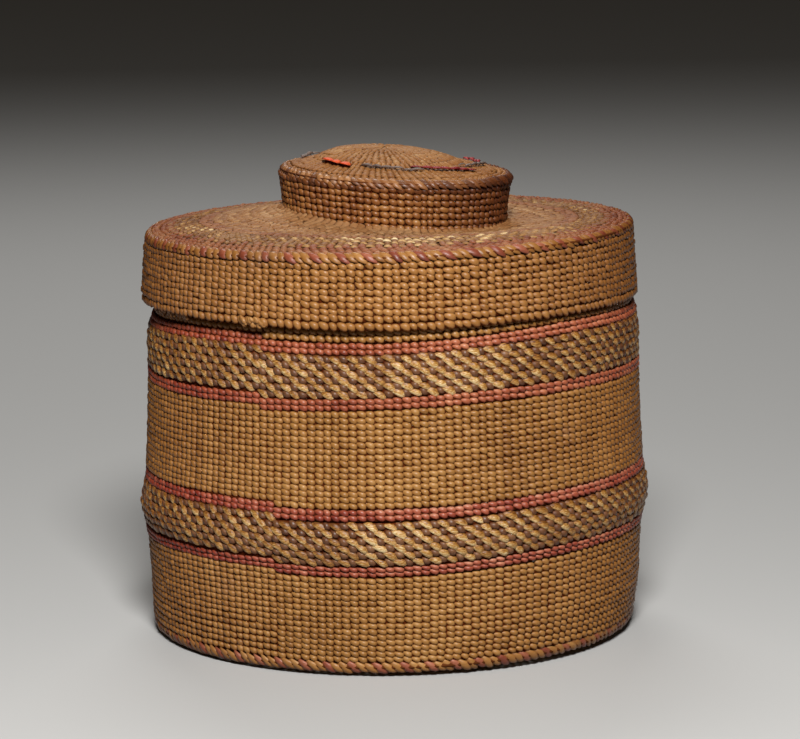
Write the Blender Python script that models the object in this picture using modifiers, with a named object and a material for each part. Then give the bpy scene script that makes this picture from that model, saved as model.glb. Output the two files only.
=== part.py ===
import bpy
import bmesh
from math import cos, hypot, pi, radians, sin
from mathutils import Matrix

# A twined spruce-root basket with a slip-over lid whose hollow knob holds pebbles.
# All sizes are in metres, +Z is up, and the origin is where the base rests on the ground.
# Courses are the rounds of twining. Each zone of courses of one colour is its own solid.

COLLECTION_NAME = "haida_lidded_basket"

# clearances
SEAM_GAP = 0.0003
SLIP_CLEARANCE = 0.0012

# thickness of the woven fabric
WALL = 0.0022
LID_WALL = 0.0022
TOP_WALL = 0.0020
KNOB_WALL = 0.0019
FLOOR_WALL = 0.0016
COURSE_RELIEF = 0.00035
BAND_RELIEF = 0.0006
LID_RELIEF = 0.0007
LID_TOP_RELIEF = 0.0004

# height of one course
LOWER_PITCH = 0.00172
MIDDLE_PITCH = 0.00181
BAND_PITCH = 0.00214
LOW_STRIPE_PITCH = 0.00155
STRIPE_PITCH = 0.00176
LID_PITCH = 0.00197
TOP_PITCH = 0.00205
KNOB_PITCH = 0.00185

# number of courses in each zone
LOWER_COURSES = 15
MIDDLE_COURSES = 16
BAND_COURSES = 6
STRIPE_COURSES = 2
LID_COURSES = 9
LID_STRIPE_COURSES = 3
LID_BAND_COURSES = 4
LID_INNER_COURSES = 2
KNOB_COURSES = 7

# outer radius of the body and the lid's shoulder, and how far the body swells or tucks from it, going up
BODY_RADIUS = 0.0750
FOOT_TUCK = 0.0004
BELOW_LOWER_BAND_SWELL = 0.0009
LOWER_BAND_SWELL = 0.0029
ABOVE_LOWER_BAND_SWELL = 0.0014
UPPER_BAND_SWELL = 0.0001
ABOVE_UPPER_BAND_TUCK = 0.0005
NECK_BEND = 0.0060
NECK_SHOWING = 0.00360
RIM_HEIGHT = 0.0019
RIM_OVERHANG = 0.0002

# base
BASE_RIM_WIDTH = 0.0140
BASE_LIFT = 0.0012
BASE_RIDGE_THICKNESS = 0.0028
BASE_RIDGE_OVERHANG = 0.0002

# lid
LID_FLARE = 0.0007
LID_EDGE_COURSE = 0.0021
SHOULDER_RIDGE_THICKNESS = 0.0026
SHOULDER_RIDGE_RISE = 0.0005
LID_CROWN_RISE = 0.0008

# knob
KNOB_FOOT_RADIUS = 0.0349
KNOB_FLARE = 0.0007
KNOB_RIDGE_OVERHANG = 0.0009
KNOB_RIDGE_THICKNESS = 0.0026
KNOB_RING_LIFT = 0.0008
KNOB_RING_RISE = 0.0025
DOME_RADIUS = 0.0225
DOME_RISE = 0.0038
DOME_POWER = 3
FLOOR_LAP = 0.0022

# the knob leans down to the right, in metres per metre, and the lid's top follows it more and more inwards
KNOB_LEAN = -0.052
LEAN_POWER = 1.5

# coloured strokes laid on the knob's top: start and end angle, share of the ring's width at each end, colour
STROKE_THICKNESS = 0.0008
STROKE_GAP = 0.0004
STROKES = [
    (196, 241, 0.06, 0.10, "orange"),
    (250, 292, 0.06, 0.35, "slate"),
    (287, 330, 0.08, 0.50, "crimson"),
    (328, 370, 0.08, 0.55, "slate"),
    (15, 38, 0.45, 0.42, "crimson"),
    (146, 172, 0.45, 0.42, "slate"),
]
STROKE_POINTS = 8

# pebbles: half sizes, share of the hollow's radius, angle
PEBBLES = [
    ((0.0038, 0.0030, 0.0026), 0.30, 200),
    ((0.0033, 0.0029, 0.0023), 0.52, 285),
    ((0.0041, 0.0034, 0.0027), 0.55, 20),
    ((0.0030, 0.0026, 0.0022), 0.62, 110),
    ((0.0035, 0.0027, 0.0024), 0.66, 165),
]

# facets
SEGMENTS = 32
RIDGE_SIDES = 8
PLAIN_SPANS = 4
INNER_SPANS = 3
DOME_SPANS = 6

ROOT_TAN = (0.48, 0.26, 0.10)
ROOT_BROWN = (0.30, 0.14, 0.05)
GRASS_STRAW = (0.58, 0.40, 0.16)
STRIPE_RED = (0.40, 0.09, 0.05)
STRIPE_ROSE = (0.38, 0.14, 0.10)
INNER_TAN = (0.42, 0.25, 0.12)
STONE_GREY = (0.20, 0.19, 0.17)
STROKE_COLOURS = {"orange": (0.72, 0.09, 0.02), "slate": (0.09, 0.09, 0.12), "crimson": (0.25, 0.02, 0.02)}


def clear_scene():
    for item in list(bpy.data.objects):
        bpy.data.objects.remove(item, do_unlink=True)


def make_collection(name):
    collection = bpy.data.collections.new(name)
    bpy.context.scene.collection.children.link(collection)
    return collection


def make_material(name, colour, roughness):
    material = bpy.data.materials.new(name)
    material.use_nodes = True
    shader = material.node_tree.nodes["Principled BSDF"]
    shader.inputs["Base Color"].default_value = (*colour, 1.0)
    shader.inputs["Roughness"].default_value = roughness
    shader.inputs["Metallic"].default_value = 0.0
    material.diffuse_color = (*colour, 1.0)
    return material


def stations(bottom, top, count):
    return [bottom + (top - bottom) * i / count for i in range(count + 1)]


def smooth_curve(points):
    """A cubic through the points, given as (height, radius) from low to high, as a function of height."""
    slopes = []
    for i in range(len(points)):
        low = points[max(i - 1, 0)]
        high = points[min(i + 1, len(points) - 1)]
        slopes.append((high[1] - low[1]) / (high[0] - low[0]))

    def radius_at(height):
        clamped = min(max(height, points[0][0]), points[-1][0])
        for i in range(len(points) - 1):
            (z0, r0), (z1, r1) = points[i], points[i + 1]
            if clamped <= z1:
                span = z1 - z0
                t = (clamped - z0) / span
                rise = r0 * (2 * t**3 - 3 * t**2 + 1) + r1 * (3 * t**2 - 2 * t**3)
                bend = slopes[i] * (t**3 - 2 * t**2 + t) + slopes[i + 1] * (t**3 - t**2)
                return rise + span * bend
        return points[-1][1]

    return radius_at


def turn(name, profile, material, collection, closed=True):
    """Spins a profile of (radius, height) points, which runs down the outer side first, about the Z axis."""
    mesh = bpy.data.meshes.new(name)
    points = [(radius, 0.0, height) for radius, height in profile]
    edges = [(i, i + 1) for i in range(len(points) - 1)]
    if closed:
        edges.append((len(points) - 1, 0))
    mesh.from_pydata(points, edges, [])
    item = bpy.data.objects.new(name, mesh)
    collection.objects.link(item)
    screw = item.modifiers.new("Turn", "SCREW")
    screw.axis = "Z"
    screw.angle = 2 * pi
    screw.steps = SEGMENTS
    screw.render_steps = SEGMENTS
    screw.use_merge_vertices = True
    screw.merge_threshold = 0.00001
    screw.use_smooth_shade = True
    item.data.materials.append(material)
    return item


def rim_inner_radius():
    return BODY_RADIUS - LID_WALL - SLIP_CLEARANCE - WALL - RIM_OVERHANG


def floor_radius():
    return KNOB_FOOT_RADIUS + FLOOR_LAP


def lean_at(x, y):
    """How far the lid's top rises or sinks at a place: not at all over the rim, and most at the knob."""
    share = (rim_inner_radius() - hypot(x, y)) / (rim_inner_radius() - floor_radius())
    return KNOB_LEAN * x * min(max(share, 0.0), 1.0) ** LEAN_POWER


def lean_over(items):
    """Lets turned pieces of the lid's top and the knob follow the lean."""
    bpy.context.view_layer.update()
    graph = bpy.context.evaluated_depsgraph_get()
    for item in items:
        mesh = bpy.data.meshes.new_from_object(item.evaluated_get(graph))
        for vertex in mesh.vertices:
            vertex.co.z += lean_at(vertex.co.x, vertex.co.y)
        item.modifiers.clear()
        item.data = mesh


def wall_profile(bottom, top, radius_at, wall, courses, relief):
    """A wall's section: one swell for each course outside when relief is given, plain inside."""
    outer = []
    if relief:
        pitch = (top - bottom) / courses
        for i in range(courses):
            seam = top - i * pitch
            outer.append((radius_at(seam) - relief, seam))
            outer.append((radius_at(seam - pitch / 2), seam - pitch / 2))
        outer.append((radius_at(bottom) - relief, bottom))
    else:
        outer = [(radius_at(z), z) for z in reversed(stations(bottom, top, PLAIN_SPANS))]
    spans = 1 if courses <= STRIPE_COURSES else INNER_SPANS
    inner = [(radius_at(z) - wall, z) for z in stations(bottom, top, spans)]
    return outer + inner


def disc_profile(inner_radius, outer_radius, height_at, wall, courses, relief):
    """A flat or conical ring's section, with the same swells on its upper side."""
    upper = []
    if relief:
        pitch = (outer_radius - inner_radius) / courses
        for i in range(courses):
            seam = inner_radius + i * pitch
            upper.append((seam, height_at(seam) - relief))
            upper.append((seam + pitch / 2, height_at(seam + pitch / 2)))
        upper.append((outer_radius, height_at(outer_radius) - relief))
    else:
        upper = [(r, height_at(r)) for r in stations(inner_radius, outer_radius, PLAIN_SPANS)]
    spans = 1 if courses <= LID_BAND_COURSES else INNER_SPANS
    lower = [(r, height_at(r) - wall) for r in reversed(stations(inner_radius, outer_radius, spans))]
    return upper + lower


def ridge_profile(centre_radius, centre_height, thickness):
    """The round section of a three-strand course."""
    points = []
    for i in range(RIDGE_SIDES):
        angle = pi / 2 - 2 * pi * (i + 0.5) / RIDGE_SIDES
        radius = centre_radius + cos(angle) * thickness / 2
        points.append((radius, centre_height + sin(angle) * thickness / 2))
    return points


def lid_depth():
    """How far the lid reaches down from its seat on the rim."""
    side = LID_COURSES * LID_PITCH + LID_EDGE_COURSE
    return side + SHOULDER_RIDGE_THICKNESS / 2 - SHOULDER_RIDGE_RISE


def body_levels():
    """Height of each seam of the body, from the foot to the rim. The neck is as long as the lid needs."""
    heights = {"foot": BASE_LIFT + BASE_RIDGE_THICKNESS}
    steps = [
        ("lower_top", LOWER_COURSES * LOWER_PITCH),
        ("lower_band_bottom", STRIPE_COURSES * LOW_STRIPE_PITCH),
        ("lower_band_top", BAND_COURSES * BAND_PITCH),
        ("middle_bottom", STRIPE_COURSES * STRIPE_PITCH),
        ("middle_top", MIDDLE_COURSES * MIDDLE_PITCH),
        ("upper_band_bottom", STRIPE_COURSES * STRIPE_PITCH),
        ("upper_band_top", BAND_COURSES * BAND_PITCH),
        ("neck_bottom", STRIPE_COURSES * STRIPE_PITCH),
        ("neck_top", NECK_SHOWING + lid_depth() - SEAM_GAP - RIM_HEIGHT),
        ("rim_top", RIM_HEIGHT),
    ]
    level = heights["foot"]
    for name, rise in steps:
        level += rise
        heights[name] = level
    return heights


def body_curve(z):
    """Outer radius of the body by height. The neck slips inside the lid."""
    neck_radius = BODY_RADIUS - LID_WALL - SLIP_CLEARANCE
    return smooth_curve([
        (z["foot"], BODY_RADIUS - FOOT_TUCK),
        (z["lower_top"], BODY_RADIUS + BELOW_LOWER_BAND_SWELL),
        ((z["lower_band_bottom"] + z["lower_band_top"]) / 2, BODY_RADIUS + LOWER_BAND_SWELL),
        (z["middle_bottom"], BODY_RADIUS + ABOVE_LOWER_BAND_SWELL),
        (z["middle_top"], BODY_RADIUS),
        ((z["upper_band_bottom"] + z["upper_band_top"]) / 2, BODY_RADIUS + UPPER_BAND_SWELL),
        (z["upper_band_top"], BODY_RADIUS - ABOVE_UPPER_BAND_TUCK),
        (z["neck_bottom"] + NECK_BEND, neck_radius),
        (z["rim_top"], neck_radius),
    ])


def build_base(materials, collection):
    ridge_radius = BODY_RADIUS - FOOT_TUCK + BASE_RIDGE_OVERHANG
    ridge_centre = ridge_radius - BASE_RIDGE_THICKNESS / 2
    ridge_height = BASE_LIFT + BASE_RIDGE_THICKNESS / 2
    profile = ridge_profile(ridge_centre, ridge_height, BASE_RIDGE_THICKNESS)
    turn("base_edge_ridge", profile, materials["tan"], collection)
    edge_radius = ridge_centre - BASE_RIDGE_THICKNESS / 2 - SEAM_GAP
    edge_low = ridge_height - WALL / 2
    flat_radius = ridge_radius - BASE_RIM_WIDTH
    disc = [
        (0.0, WALL),
        (flat_radius, WALL),
        (edge_radius, edge_low + WALL),
        (edge_radius, edge_low),
        (flat_radius, 0.0),
        (0.0, 0.0),
    ]
    turn("base_disc", disc, materials["tan"], collection, closed=False)


def build_body(z, radius_at, materials, collection):
    zones = [
        ("wall_lower", "foot", "lower_top", LOWER_COURSES, 0.0, "tan"),
        ("stripe_lower_1", "lower_top", "lower_band_bottom", STRIPE_COURSES, COURSE_RELIEF, "red"),
        ("band_lower", "lower_band_bottom", "lower_band_top", BAND_COURSES, BAND_RELIEF, "straw"),
        ("stripe_lower_2", "lower_band_top", "middle_bottom", STRIPE_COURSES, COURSE_RELIEF, "red"),
        ("wall_middle", "middle_bottom", "middle_top", MIDDLE_COURSES, 0.0, "tan"),
        ("stripe_upper_1", "middle_top", "upper_band_bottom", STRIPE_COURSES, COURSE_RELIEF, "red"),
        ("band_upper", "upper_band_bottom", "upper_band_top", BAND_COURSES, BAND_RELIEF, "straw"),
        ("stripe_upper_2", "upper_band_top", "neck_bottom", STRIPE_COURSES, COURSE_RELIEF, "red"),
        ("wall_neck", "neck_bottom", "neck_top", MIDDLE_COURSES, 0.0, "tan"),
    ]
    for name, low, high, courses, relief, material in zones:
        profile = wall_profile(z[low] + SEAM_GAP, z[high], radius_at, WALL, courses, relief)
        turn(name, profile, materials[material], collection)
    neck_radius = radius_at(z["neck_top"])
    bottom = z["neck_top"] + SEAM_GAP
    middle = (bottom + z["rim_top"]) / 2
    rim = [
        (neck_radius - WALL / 4, z["rim_top"]),
        (neck_radius + RIM_OVERHANG, middle),
        (neck_radius, bottom),
        (neck_radius - WALL, bottom),
        (neck_radius - WALL - RIM_OVERHANG, middle),
        (neck_radius - 3 * WALL / 4, z["rim_top"]),
    ]
    turn("rim_edge", rim, materials["tan"], collection)


def lid_levels(z):
    """Heights of the lid's seams. Its top rests on the rim of the body."""
    seat = z["rim_top"] + SEAM_GAP
    ridge_middle = seat + SHOULDER_RIDGE_RISE
    side_top = ridge_middle - SHOULDER_RIDGE_THICKNESS / 2
    side_bottom = side_top - LID_COURSES * LID_PITCH
    return {
        "seat": seat,
        "ridge_middle": ridge_middle,
        "side_top": side_top,
        "side_bottom": side_bottom,
        "edge_bottom": side_bottom - LID_EDGE_COURSE,
    }


def lid_top_height(level, top_edge_radius):
    """Height of the lid's upper surface by radius: a low cone that rises to the knob's foot."""
    outer = level["seat"] + TOP_WALL

    def height_at(radius):
        share = (top_edge_radius - radius) / (top_edge_radius - KNOB_FOOT_RADIUS)
        return outer + LID_CROWN_RISE * share

    return height_at


def build_lid(level, materials, collection):
    edge_radius = BODY_RADIUS + LID_FLARE
    radius_at = smooth_curve([(level["edge_bottom"], edge_radius), (level["side_top"], BODY_RADIUS)])
    middle = (level["edge_bottom"] + level["side_bottom"]) / 2
    edge = [
        (radius_at(level["side_bottom"]) - LID_RELIEF, level["side_bottom"]),
        (radius_at(middle), middle),
        (radius_at(level["edge_bottom"]) - LID_RELIEF, level["edge_bottom"]),
        (radius_at(level["edge_bottom"]) - LID_WALL, level["edge_bottom"]),
        (radius_at(level["side_bottom"]) - LID_WALL, level["side_bottom"]),
    ]
    turn("lid_edge", edge, materials["tan"], collection)
    bottom = level["side_bottom"] + SEAM_GAP
    side = wall_profile(bottom, level["side_top"] - SEAM_GAP, radius_at, LID_WALL, LID_COURSES, LID_RELIEF)
    turn("lid_side", side, materials["tan"], collection)
    ridge_centre = BODY_RADIUS - SHOULDER_RIDGE_THICKNESS / 2
    ridge = ridge_profile(ridge_centre, level["ridge_middle"], SHOULDER_RIDGE_THICKNESS)
    turn("lid_shoulder_ridge", ridge, materials["tan"], collection)

    top_edge = ridge_centre - SHOULDER_RIDGE_THICKNESS / 2 - SEAM_GAP
    height_at = lid_top_height(level, top_edge)
    zones = [
        ("lid_top_stripe_outer", LID_STRIPE_COURSES, "rose"),
        ("lid_top_band", LID_BAND_COURSES, "straw"),
        ("lid_top_stripe_inner", LID_INNER_COURSES, "rose"),
    ]
    outer = top_edge
    leaning = []
    for name, courses, material in zones:
        inner = outer - courses * TOP_PITCH
        profile = disc_profile(inner + SEAM_GAP, outer, height_at, TOP_WALL, courses, LID_TOP_RELIEF)
        leaning.append(turn(name, profile, materials[material], collection))
        outer = inner
    foot = KNOB_FOOT_RADIUS + SEAM_GAP
    courses = round((outer - foot) / TOP_PITCH)
    plain = disc_profile(foot, outer, height_at, TOP_WALL, courses, 0.0)
    leaning.append(turn("lid_top_plain", plain, materials["tan"], collection))
    lean_over(leaning)
    return height_at


def knob_levels(height_at):
    foot = height_at(KNOB_FOOT_RADIUS) - TOP_WALL
    head = foot + TOP_WALL + KNOB_COURSES * KNOB_PITCH
    ridge_middle = head + SEAM_GAP + KNOB_RIDGE_THICKNESS / 2
    return {"foot": foot, "head": head, "ridge_middle": ridge_middle, "floor_top": foot - SEAM_GAP}


def ring_height(level, outer_radius):
    """Height of the knob's top surface by radius, from the ridge in to the dome."""
    low = level["ridge_middle"] + KNOB_RING_LIFT

    def height_at(radius):
        share = (outer_radius - radius) / (outer_radius - DOME_RADIUS)
        return low + KNOB_RING_RISE * share

    return height_at


def build_knob(level, materials, collection):
    head_radius = KNOB_FOOT_RADIUS + KNOB_FLARE
    radius_at = smooth_curve([(level["foot"], KNOB_FOOT_RADIUS), (level["head"], head_radius)])
    side = wall_profile(level["foot"], level["head"], radius_at, KNOB_WALL, KNOB_COURSES, COURSE_RELIEF)
    leaning = [turn("knob_side", side, materials["brown"], collection)]
    ridge_centre = head_radius + KNOB_RIDGE_OVERHANG - KNOB_RIDGE_THICKNESS / 2
    ridge = ridge_profile(ridge_centre, level["ridge_middle"], KNOB_RIDGE_THICKNESS)
    leaning.append(turn("knob_ridge", ridge, materials["brown"], collection))

    ring_outer = ridge_centre - KNOB_RIDGE_THICKNESS / 2 - SEAM_GAP
    height_at = ring_height(level, ring_outer)
    ring_inner = DOME_RADIUS + SEAM_GAP
    ring = disc_profile(ring_inner, ring_outer, height_at, KNOB_WALL, KNOB_COURSES, 0.0)
    leaning.append(turn("knob_ring", ring, materials["tan"], collection))

    foot = height_at(DOME_RADIUS)
    dome = []
    for i in range(DOME_SPANS + 1):
        share = (i / DOME_SPANS) ** 0.5
        dome.append((DOME_RADIUS * share, foot + DOME_RISE * (1 - share**DOME_POWER)))
    inner = [(radius, height - KNOB_WALL) for radius, height in reversed(dome[::2])]
    leaning.append(turn("knob_dome", dome + inner, materials["tan"], collection, closed=False))
    build_strokes(height_at, ring_inner, ring_outer, materials, collection)

    top = level["floor_top"]
    floor = [(0.0, top), (floor_radius(), top), (floor_radius(), top - FLOOR_WALL), (0.0, top - FLOOR_WALL)]
    leaning.append(turn("rattle_floor", floor, materials["inner"], collection, closed=False))
    lean_over(leaning)


def build_strokes(height_at, ring_inner, ring_outer, materials, collection):
    """Dyed strands laid over the courses of the knob's top."""
    for i, (start, end, first_share, last_share, colour) in enumerate(STROKES, start=1):
        name = f"knob_stroke_{i}"
        curve = bpy.data.curves.new(name, "CURVE")
        curve.dimensions = "3D"
        curve.bevel_depth = STROKE_THICKNESS / 2
        curve.bevel_resolution = 1
        curve.use_fill_caps = True
        spline = curve.splines.new("POLY")
        spline.points.add(STROKE_POINTS - 1)
        angles = stations(radians(start), radians(end), STROKE_POINTS - 1)
        shares = stations(first_share, last_share, STROKE_POINTS - 1)
        for point, angle, share in zip(spline.points, angles, shares):
            radius = ring_inner + share * (ring_outer - ring_inner)
            height = height_at(radius) + STROKE_THICKNESS / 2 + STROKE_GAP
            x, y = radius * cos(angle), radius * sin(angle)
            point.co = (x, y, height + lean_at(x, y), 1.0)
        curve.materials.append(materials["stroke_" + colour])
        collection.objects.link(bpy.data.objects.new(name, curve))


def build_pebbles(level, materials, collection):
    """Loose pebbles on the floor of the hollow knob."""
    hollow_radius = KNOB_FOOT_RADIUS - KNOB_WALL
    for i, (half_sizes, share, angle) in enumerate(PEBBLES, start=1):
        mesh = bpy.data.meshes.new(f"pebble_{i}")
        shape = bmesh.new()
        bmesh.ops.create_icosphere(shape, subdivisions=2, radius=1.0)
        bmesh.ops.scale(shape, vec=half_sizes, verts=shape.verts)
        bmesh.ops.rotate(shape, matrix=Matrix.Rotation(radians(angle), 3, "Z"), verts=shape.verts)
        shape.to_mesh(mesh)
        shape.free()
        mesh.shade_smooth()
        mesh.materials.append(materials["stone"])
        pebble = bpy.data.objects.new(f"pebble_{i}", mesh)
        place = share * hollow_radius
        x, y = place * cos(radians(angle)), place * sin(radians(angle))
        rest = level["floor_top"] + SEAM_GAP + half_sizes[2]
        pebble.location = (x, y, rest + lean_at(x, y))
        collection.objects.link(pebble)


def main():
    clear_scene()
    collection = make_collection(COLLECTION_NAME)
    materials = {
        "tan": make_material("spruce_root", ROOT_TAN, 0.62),
        "brown": make_material("aged_root", ROOT_BROWN, 0.60),
        "straw": make_material("grass_overlay", GRASS_STRAW, 0.50),
        "red": make_material("red_root", STRIPE_RED, 0.62),
        "rose": make_material("rose_root", STRIPE_ROSE, 0.64),
        "inner": make_material("inner_root", INNER_TAN, 0.70),
        "stone": make_material("pebble_stone", STONE_GREY, 0.55),
    }
    for colour, value in STROKE_COLOURS.items():
        materials["stroke_" + colour] = make_material("stroke_" + colour, value, 0.55)
    z = body_levels()
    radius_at = body_curve(z)
    build_base(materials, collection)
    build_body(z, radius_at, materials, collection)
    lid = lid_levels(z)
    top_height = build_lid(lid, materials, collection)
    knob = knob_levels(top_height)
    build_knob(knob, materials, collection)
    build_pebbles(knob, materials, collection)
    print("rim top", z["rim_top"], "lid", lid, "knob", knob)


main()
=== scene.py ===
from math import atan, ceil, cos, hypot, pi, radians, sin
import bmesh
import bpy
import numpy as np
from mathutils import Matrix, Vector


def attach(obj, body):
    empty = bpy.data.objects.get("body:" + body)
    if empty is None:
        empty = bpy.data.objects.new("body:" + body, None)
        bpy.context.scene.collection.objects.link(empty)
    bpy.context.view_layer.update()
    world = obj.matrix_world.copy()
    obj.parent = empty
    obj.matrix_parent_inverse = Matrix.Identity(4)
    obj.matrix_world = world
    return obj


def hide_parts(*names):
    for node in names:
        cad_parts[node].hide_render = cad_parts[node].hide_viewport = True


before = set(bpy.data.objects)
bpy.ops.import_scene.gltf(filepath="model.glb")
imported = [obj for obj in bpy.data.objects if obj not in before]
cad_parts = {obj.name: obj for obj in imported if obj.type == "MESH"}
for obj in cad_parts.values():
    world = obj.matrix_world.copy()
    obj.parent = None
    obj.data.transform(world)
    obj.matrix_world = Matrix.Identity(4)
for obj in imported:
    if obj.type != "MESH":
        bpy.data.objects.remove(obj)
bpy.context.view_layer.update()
mm = 0.001
turnRound = 2 * pi
front = 1.5 * pi
shellSteps = 96
# where the parts of a piece's map end: stitches that show, hidden stitches, and the shell behind them
mapPlan = {"shown": 0.76, "stitches": 0.955, "gap": 0.004, "shell": 0.962, "shellTall": 0.036, "inset": 0.06}
print("frame loaded")


# reading places off the CAD nodes

topLean = {"slope": -0.052, "power": 1.5, "outside": 0.0692, "inside": 0.0371}


def levelOf(node, co):
    # a corner's height, without the lean that the CAD gives to the knob and the lid's top
    if not node.startswith(("knob", "lid_top", "rattle")):
        return co.z
    share = (topLean["outside"] - hypot(co.x, co.y)) / (topLean["outside"] - topLean["inside"])
    return co.z - topLean["slope"] * co.x * min(max(share, 0), 1) ** topLean["power"]


def sectionOf(node):
    # widest radius, lowest and highest level of a turned node
    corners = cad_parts[node].data.vertices
    levels = [levelOf(node, v.co) for v in corners]
    return max(hypot(v.co.x, v.co.y) for v in corners), min(levels), max(levels)


def outerLine(node):
    # heights and outer radii up the outside of a turned wall
    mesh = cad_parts[node].data
    found = {}
    for face in mesh.polygons:
        middle = face.center
        if face.normal.x * middle.x + face.normal.y * middle.y > 0.5 * hypot(middle.x, middle.y):
            for corner in face.vertices:
                co = mesh.vertices[corner].co
                height = round(levelOf(node, co), 5)
                found[height] = max(found.get(height, 0), hypot(co.x, co.y))
    heights = sorted(found)
    return np.array(heights), np.array([found[h] for h in heights])


def upperLine(node):
    # radii and heights across the upper side of a turned disc
    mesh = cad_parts[node].data
    found = {}
    for face in mesh.polygons:
        if face.normal.z > 0.4:
            for corner in face.vertices:
                co = mesh.vertices[corner].co
                found.setdefault(round(hypot(co.x, co.y), 5), []).append(levelOf(node, co))
    radii = sorted(found)
    return np.array(radii), np.array([np.mean(found[r]) for r in radii])


levelRound = (0, 0, 0, 0, 0, 0)
firstJog = radians(238)


# a course is one round of twining: where it runs, how it faces and how high its stitches are
def courseAt(radius, height, tilt, pitch, **more):
    return {"radius": radius, "height": height, "tilt": tilt, "pitch": pitch, "rise": 1.0, "sway": levelRound,
            "jog": firstJog, "shift": 0.0, "dent": 0.0, **more}


def wallCourses(node, count):
    # from the lowest course to the highest
    heights, radii = outerLine(node)
    pitch = (heights[-1] - heights[0]) / count
    middles = heights[0] + (np.arange(count) + 0.5) * pitch
    across = np.interp(middles, heights, radii)
    slopes = np.gradient(across, middles)
    return [courseAt(r, z, -atan(s), pitch) for r, z, s in zip(across, middles, slopes)]


def topCourses(node, count):
    # from the outermost course to the innermost
    radii, heights = upperLine(node)
    pitch = (radii[-1] - radii[0]) / count
    middles = radii[-1] - (np.arange(count) + 0.5) * pitch
    up = np.interp(middles, radii, heights)
    slopes = np.gradient(up, middles)
    return [courseAt(r, z, pi / 2 + atan(s), pitch) for r, z, s in zip(middles, up, slopes)]


# stitches

# a stitch is a closed lozenge with so many sides, drawn from its left tip to its right tip. Each station gives:
# along the course in column widths, up in course heights, out in mm, half height in course heights and half
# depth in mm
stitchShapes = {
    "plain": (6, [
        (-0.70, 0.26, -0.50, 0, 0), (-0.47, 0.20, -0.02, 0.32, 0.38), (-0.15, 0.08, 0.28, 0.52, 0.56),
        (0.19, -0.04, 0.32, 0.58, 0.60), (0.46, -0.12, 0.04, 0.44, 0.46), (0.64, -0.16, -0.46, 0, 0)]),
    "bead": (6, [
        (-0.66, 0.18, -0.40, 0, 0), (-0.45, 0.11, 0.06, 0.36, 0.42), (-0.15, 0.04, 0.28, 0.54, 0.54),
        (0.18, -0.04, 0.28, 0.55, 0.54), (0.44, -0.10, 0.06, 0.38, 0.42), (0.61, -0.14, -0.40, 0, 0)]),
    "grass": (8, [
        (-1.06, 0.30, -0.40, 0, 0), (-0.80, 0.34, 0.06, 0.16, 0.30), (-0.42, 0.26, 0.38, 0.38, 0.48),
        (0.00, 0.08, 0.56, 0.56, 0.60), (0.40, -0.12, 0.50, 0.58, 0.58), (0.76, -0.24, 0.14, 0.36, 0.38),
        (1.02, -0.24, -0.40, 0, 0)]),
    "dark": (6, [
        (-0.60, 0.20, -0.50, 0, 0), (-0.43, 0.17, -0.02, 0.38, 0.42), (-0.12, 0.05, 0.34, 0.54, 0.58),
        (0.20, -0.04, 0.34, 0.52, 0.56), (0.48, -0.14, -0.02, 0.34, 0.42), (0.64, -0.20, -0.50, 0, 0)]),
    "rope": (8, [
        (-1.10, 0.60, -0.90, 0, 0), (-0.86, 0.50, -0.36, 0.34, 0.40), (-0.46, 0.26, 0.08, 0.54, 0.56),
        (0.00, 0.00, 0.24, 0.64, 0.62), (0.46, -0.26, 0.08, 0.54, 0.56), (0.86, -0.50, -0.36, 0.34, 0.40),
        (1.10, -0.60, -0.90, 0, 0)]),
    "upright": (8, [
        (-0.72, 0.30, -0.60, 0, 0), (-0.54, 0.24, -0.04, 0.54, 0.50), (-0.18, 0.08, 0.24, 0.70, 0.62),
        (0.18, -0.08, 0.24, 0.70, 0.62), (0.54, -0.24, -0.04, 0.54, 0.50), (0.72, -0.30, -0.60, 0, 0)]),
    "rib": (6, [
        (-0.60, 0.06, -0.20, 0, 0), (-0.42, 0.04, -0.02, 0.78, 0.18), (-0.13, 0.01, 0.18, 0.92, 0.24),
        (0.15, -0.02, 0.18, 0.92, 0.24), (0.42, -0.05, -0.02, 0.78, 0.18), (0.60, -0.06, -0.20, 0, 0)]),
    "sole": (5, [
        (-0.60, 0.06, -0.20, 0, 0), (-0.34, 0.03, 0.06, 0.84, 0.20), (0.00, 0.00, 0.19, 0.92, 0.24),
        (0.34, -0.03, 0.06, 0.84, 0.20), (0.60, -0.06, -0.20, 0, 0)]),
    "fleck": (6, [
        (-0.76, 0.14, -0.30, 0, 0), (-0.48, 0.13, 0.04, 0.32, 0.26), (-0.16, 0.05, 0.26, 0.48, 0.34),
        (0.20, -0.05, 0.28, 0.46, 0.34), (0.52, -0.15, 0.08, 0.28, 0.26), (0.76, -0.20, -0.30, 0, 0)]),
    "inner": (4, [
        (-0.60, 0.10, -0.30, 0, 0), (-0.25, 0.05, 0.15, 0.50, 0.40), (0.25, -0.05, 0.15, 0.50, 0.40),
        (0.60, -0.10, -0.30, 0, 0)]),
    "dab": (6, [
        (-0.85, 0.22, -0.30, 0, 0), (-0.50, 0.20, 0.10, 0.22, 0.22), (-0.12, 0.04, 0.26, 0.40, 0.30),
        (0.25, -0.06, 0.26, 0.42, 0.30), (0.60, -0.18, 0.10, 0.24, 0.22), (0.85, -0.24, -0.30, 0, 0)]),
}
crestOf = {name: max(s[2] + s[4] for s in stations) for name, (sides, stations) in stitchShapes.items()}
deepOf = {name: min(s[2] for s in stations) for name, (sides, stations) in stitchShapes.items()}
grainUnits = (1.0, 2.6, 1.9)
# how uneven the handwork is: a stitch's sizes, its moves out, along and up, its turn, and the tones
uneven = {"sizes": (0.09, 0.05, 0.06), "out": 0.05, "along": 0.03, "up": 0.045, "turn": 0.05,
          "stitchTone": 0.09, "courseTone": 0.05, "roundTone": 0.05, "columnTone": 0.06}
rings = {}


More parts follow.
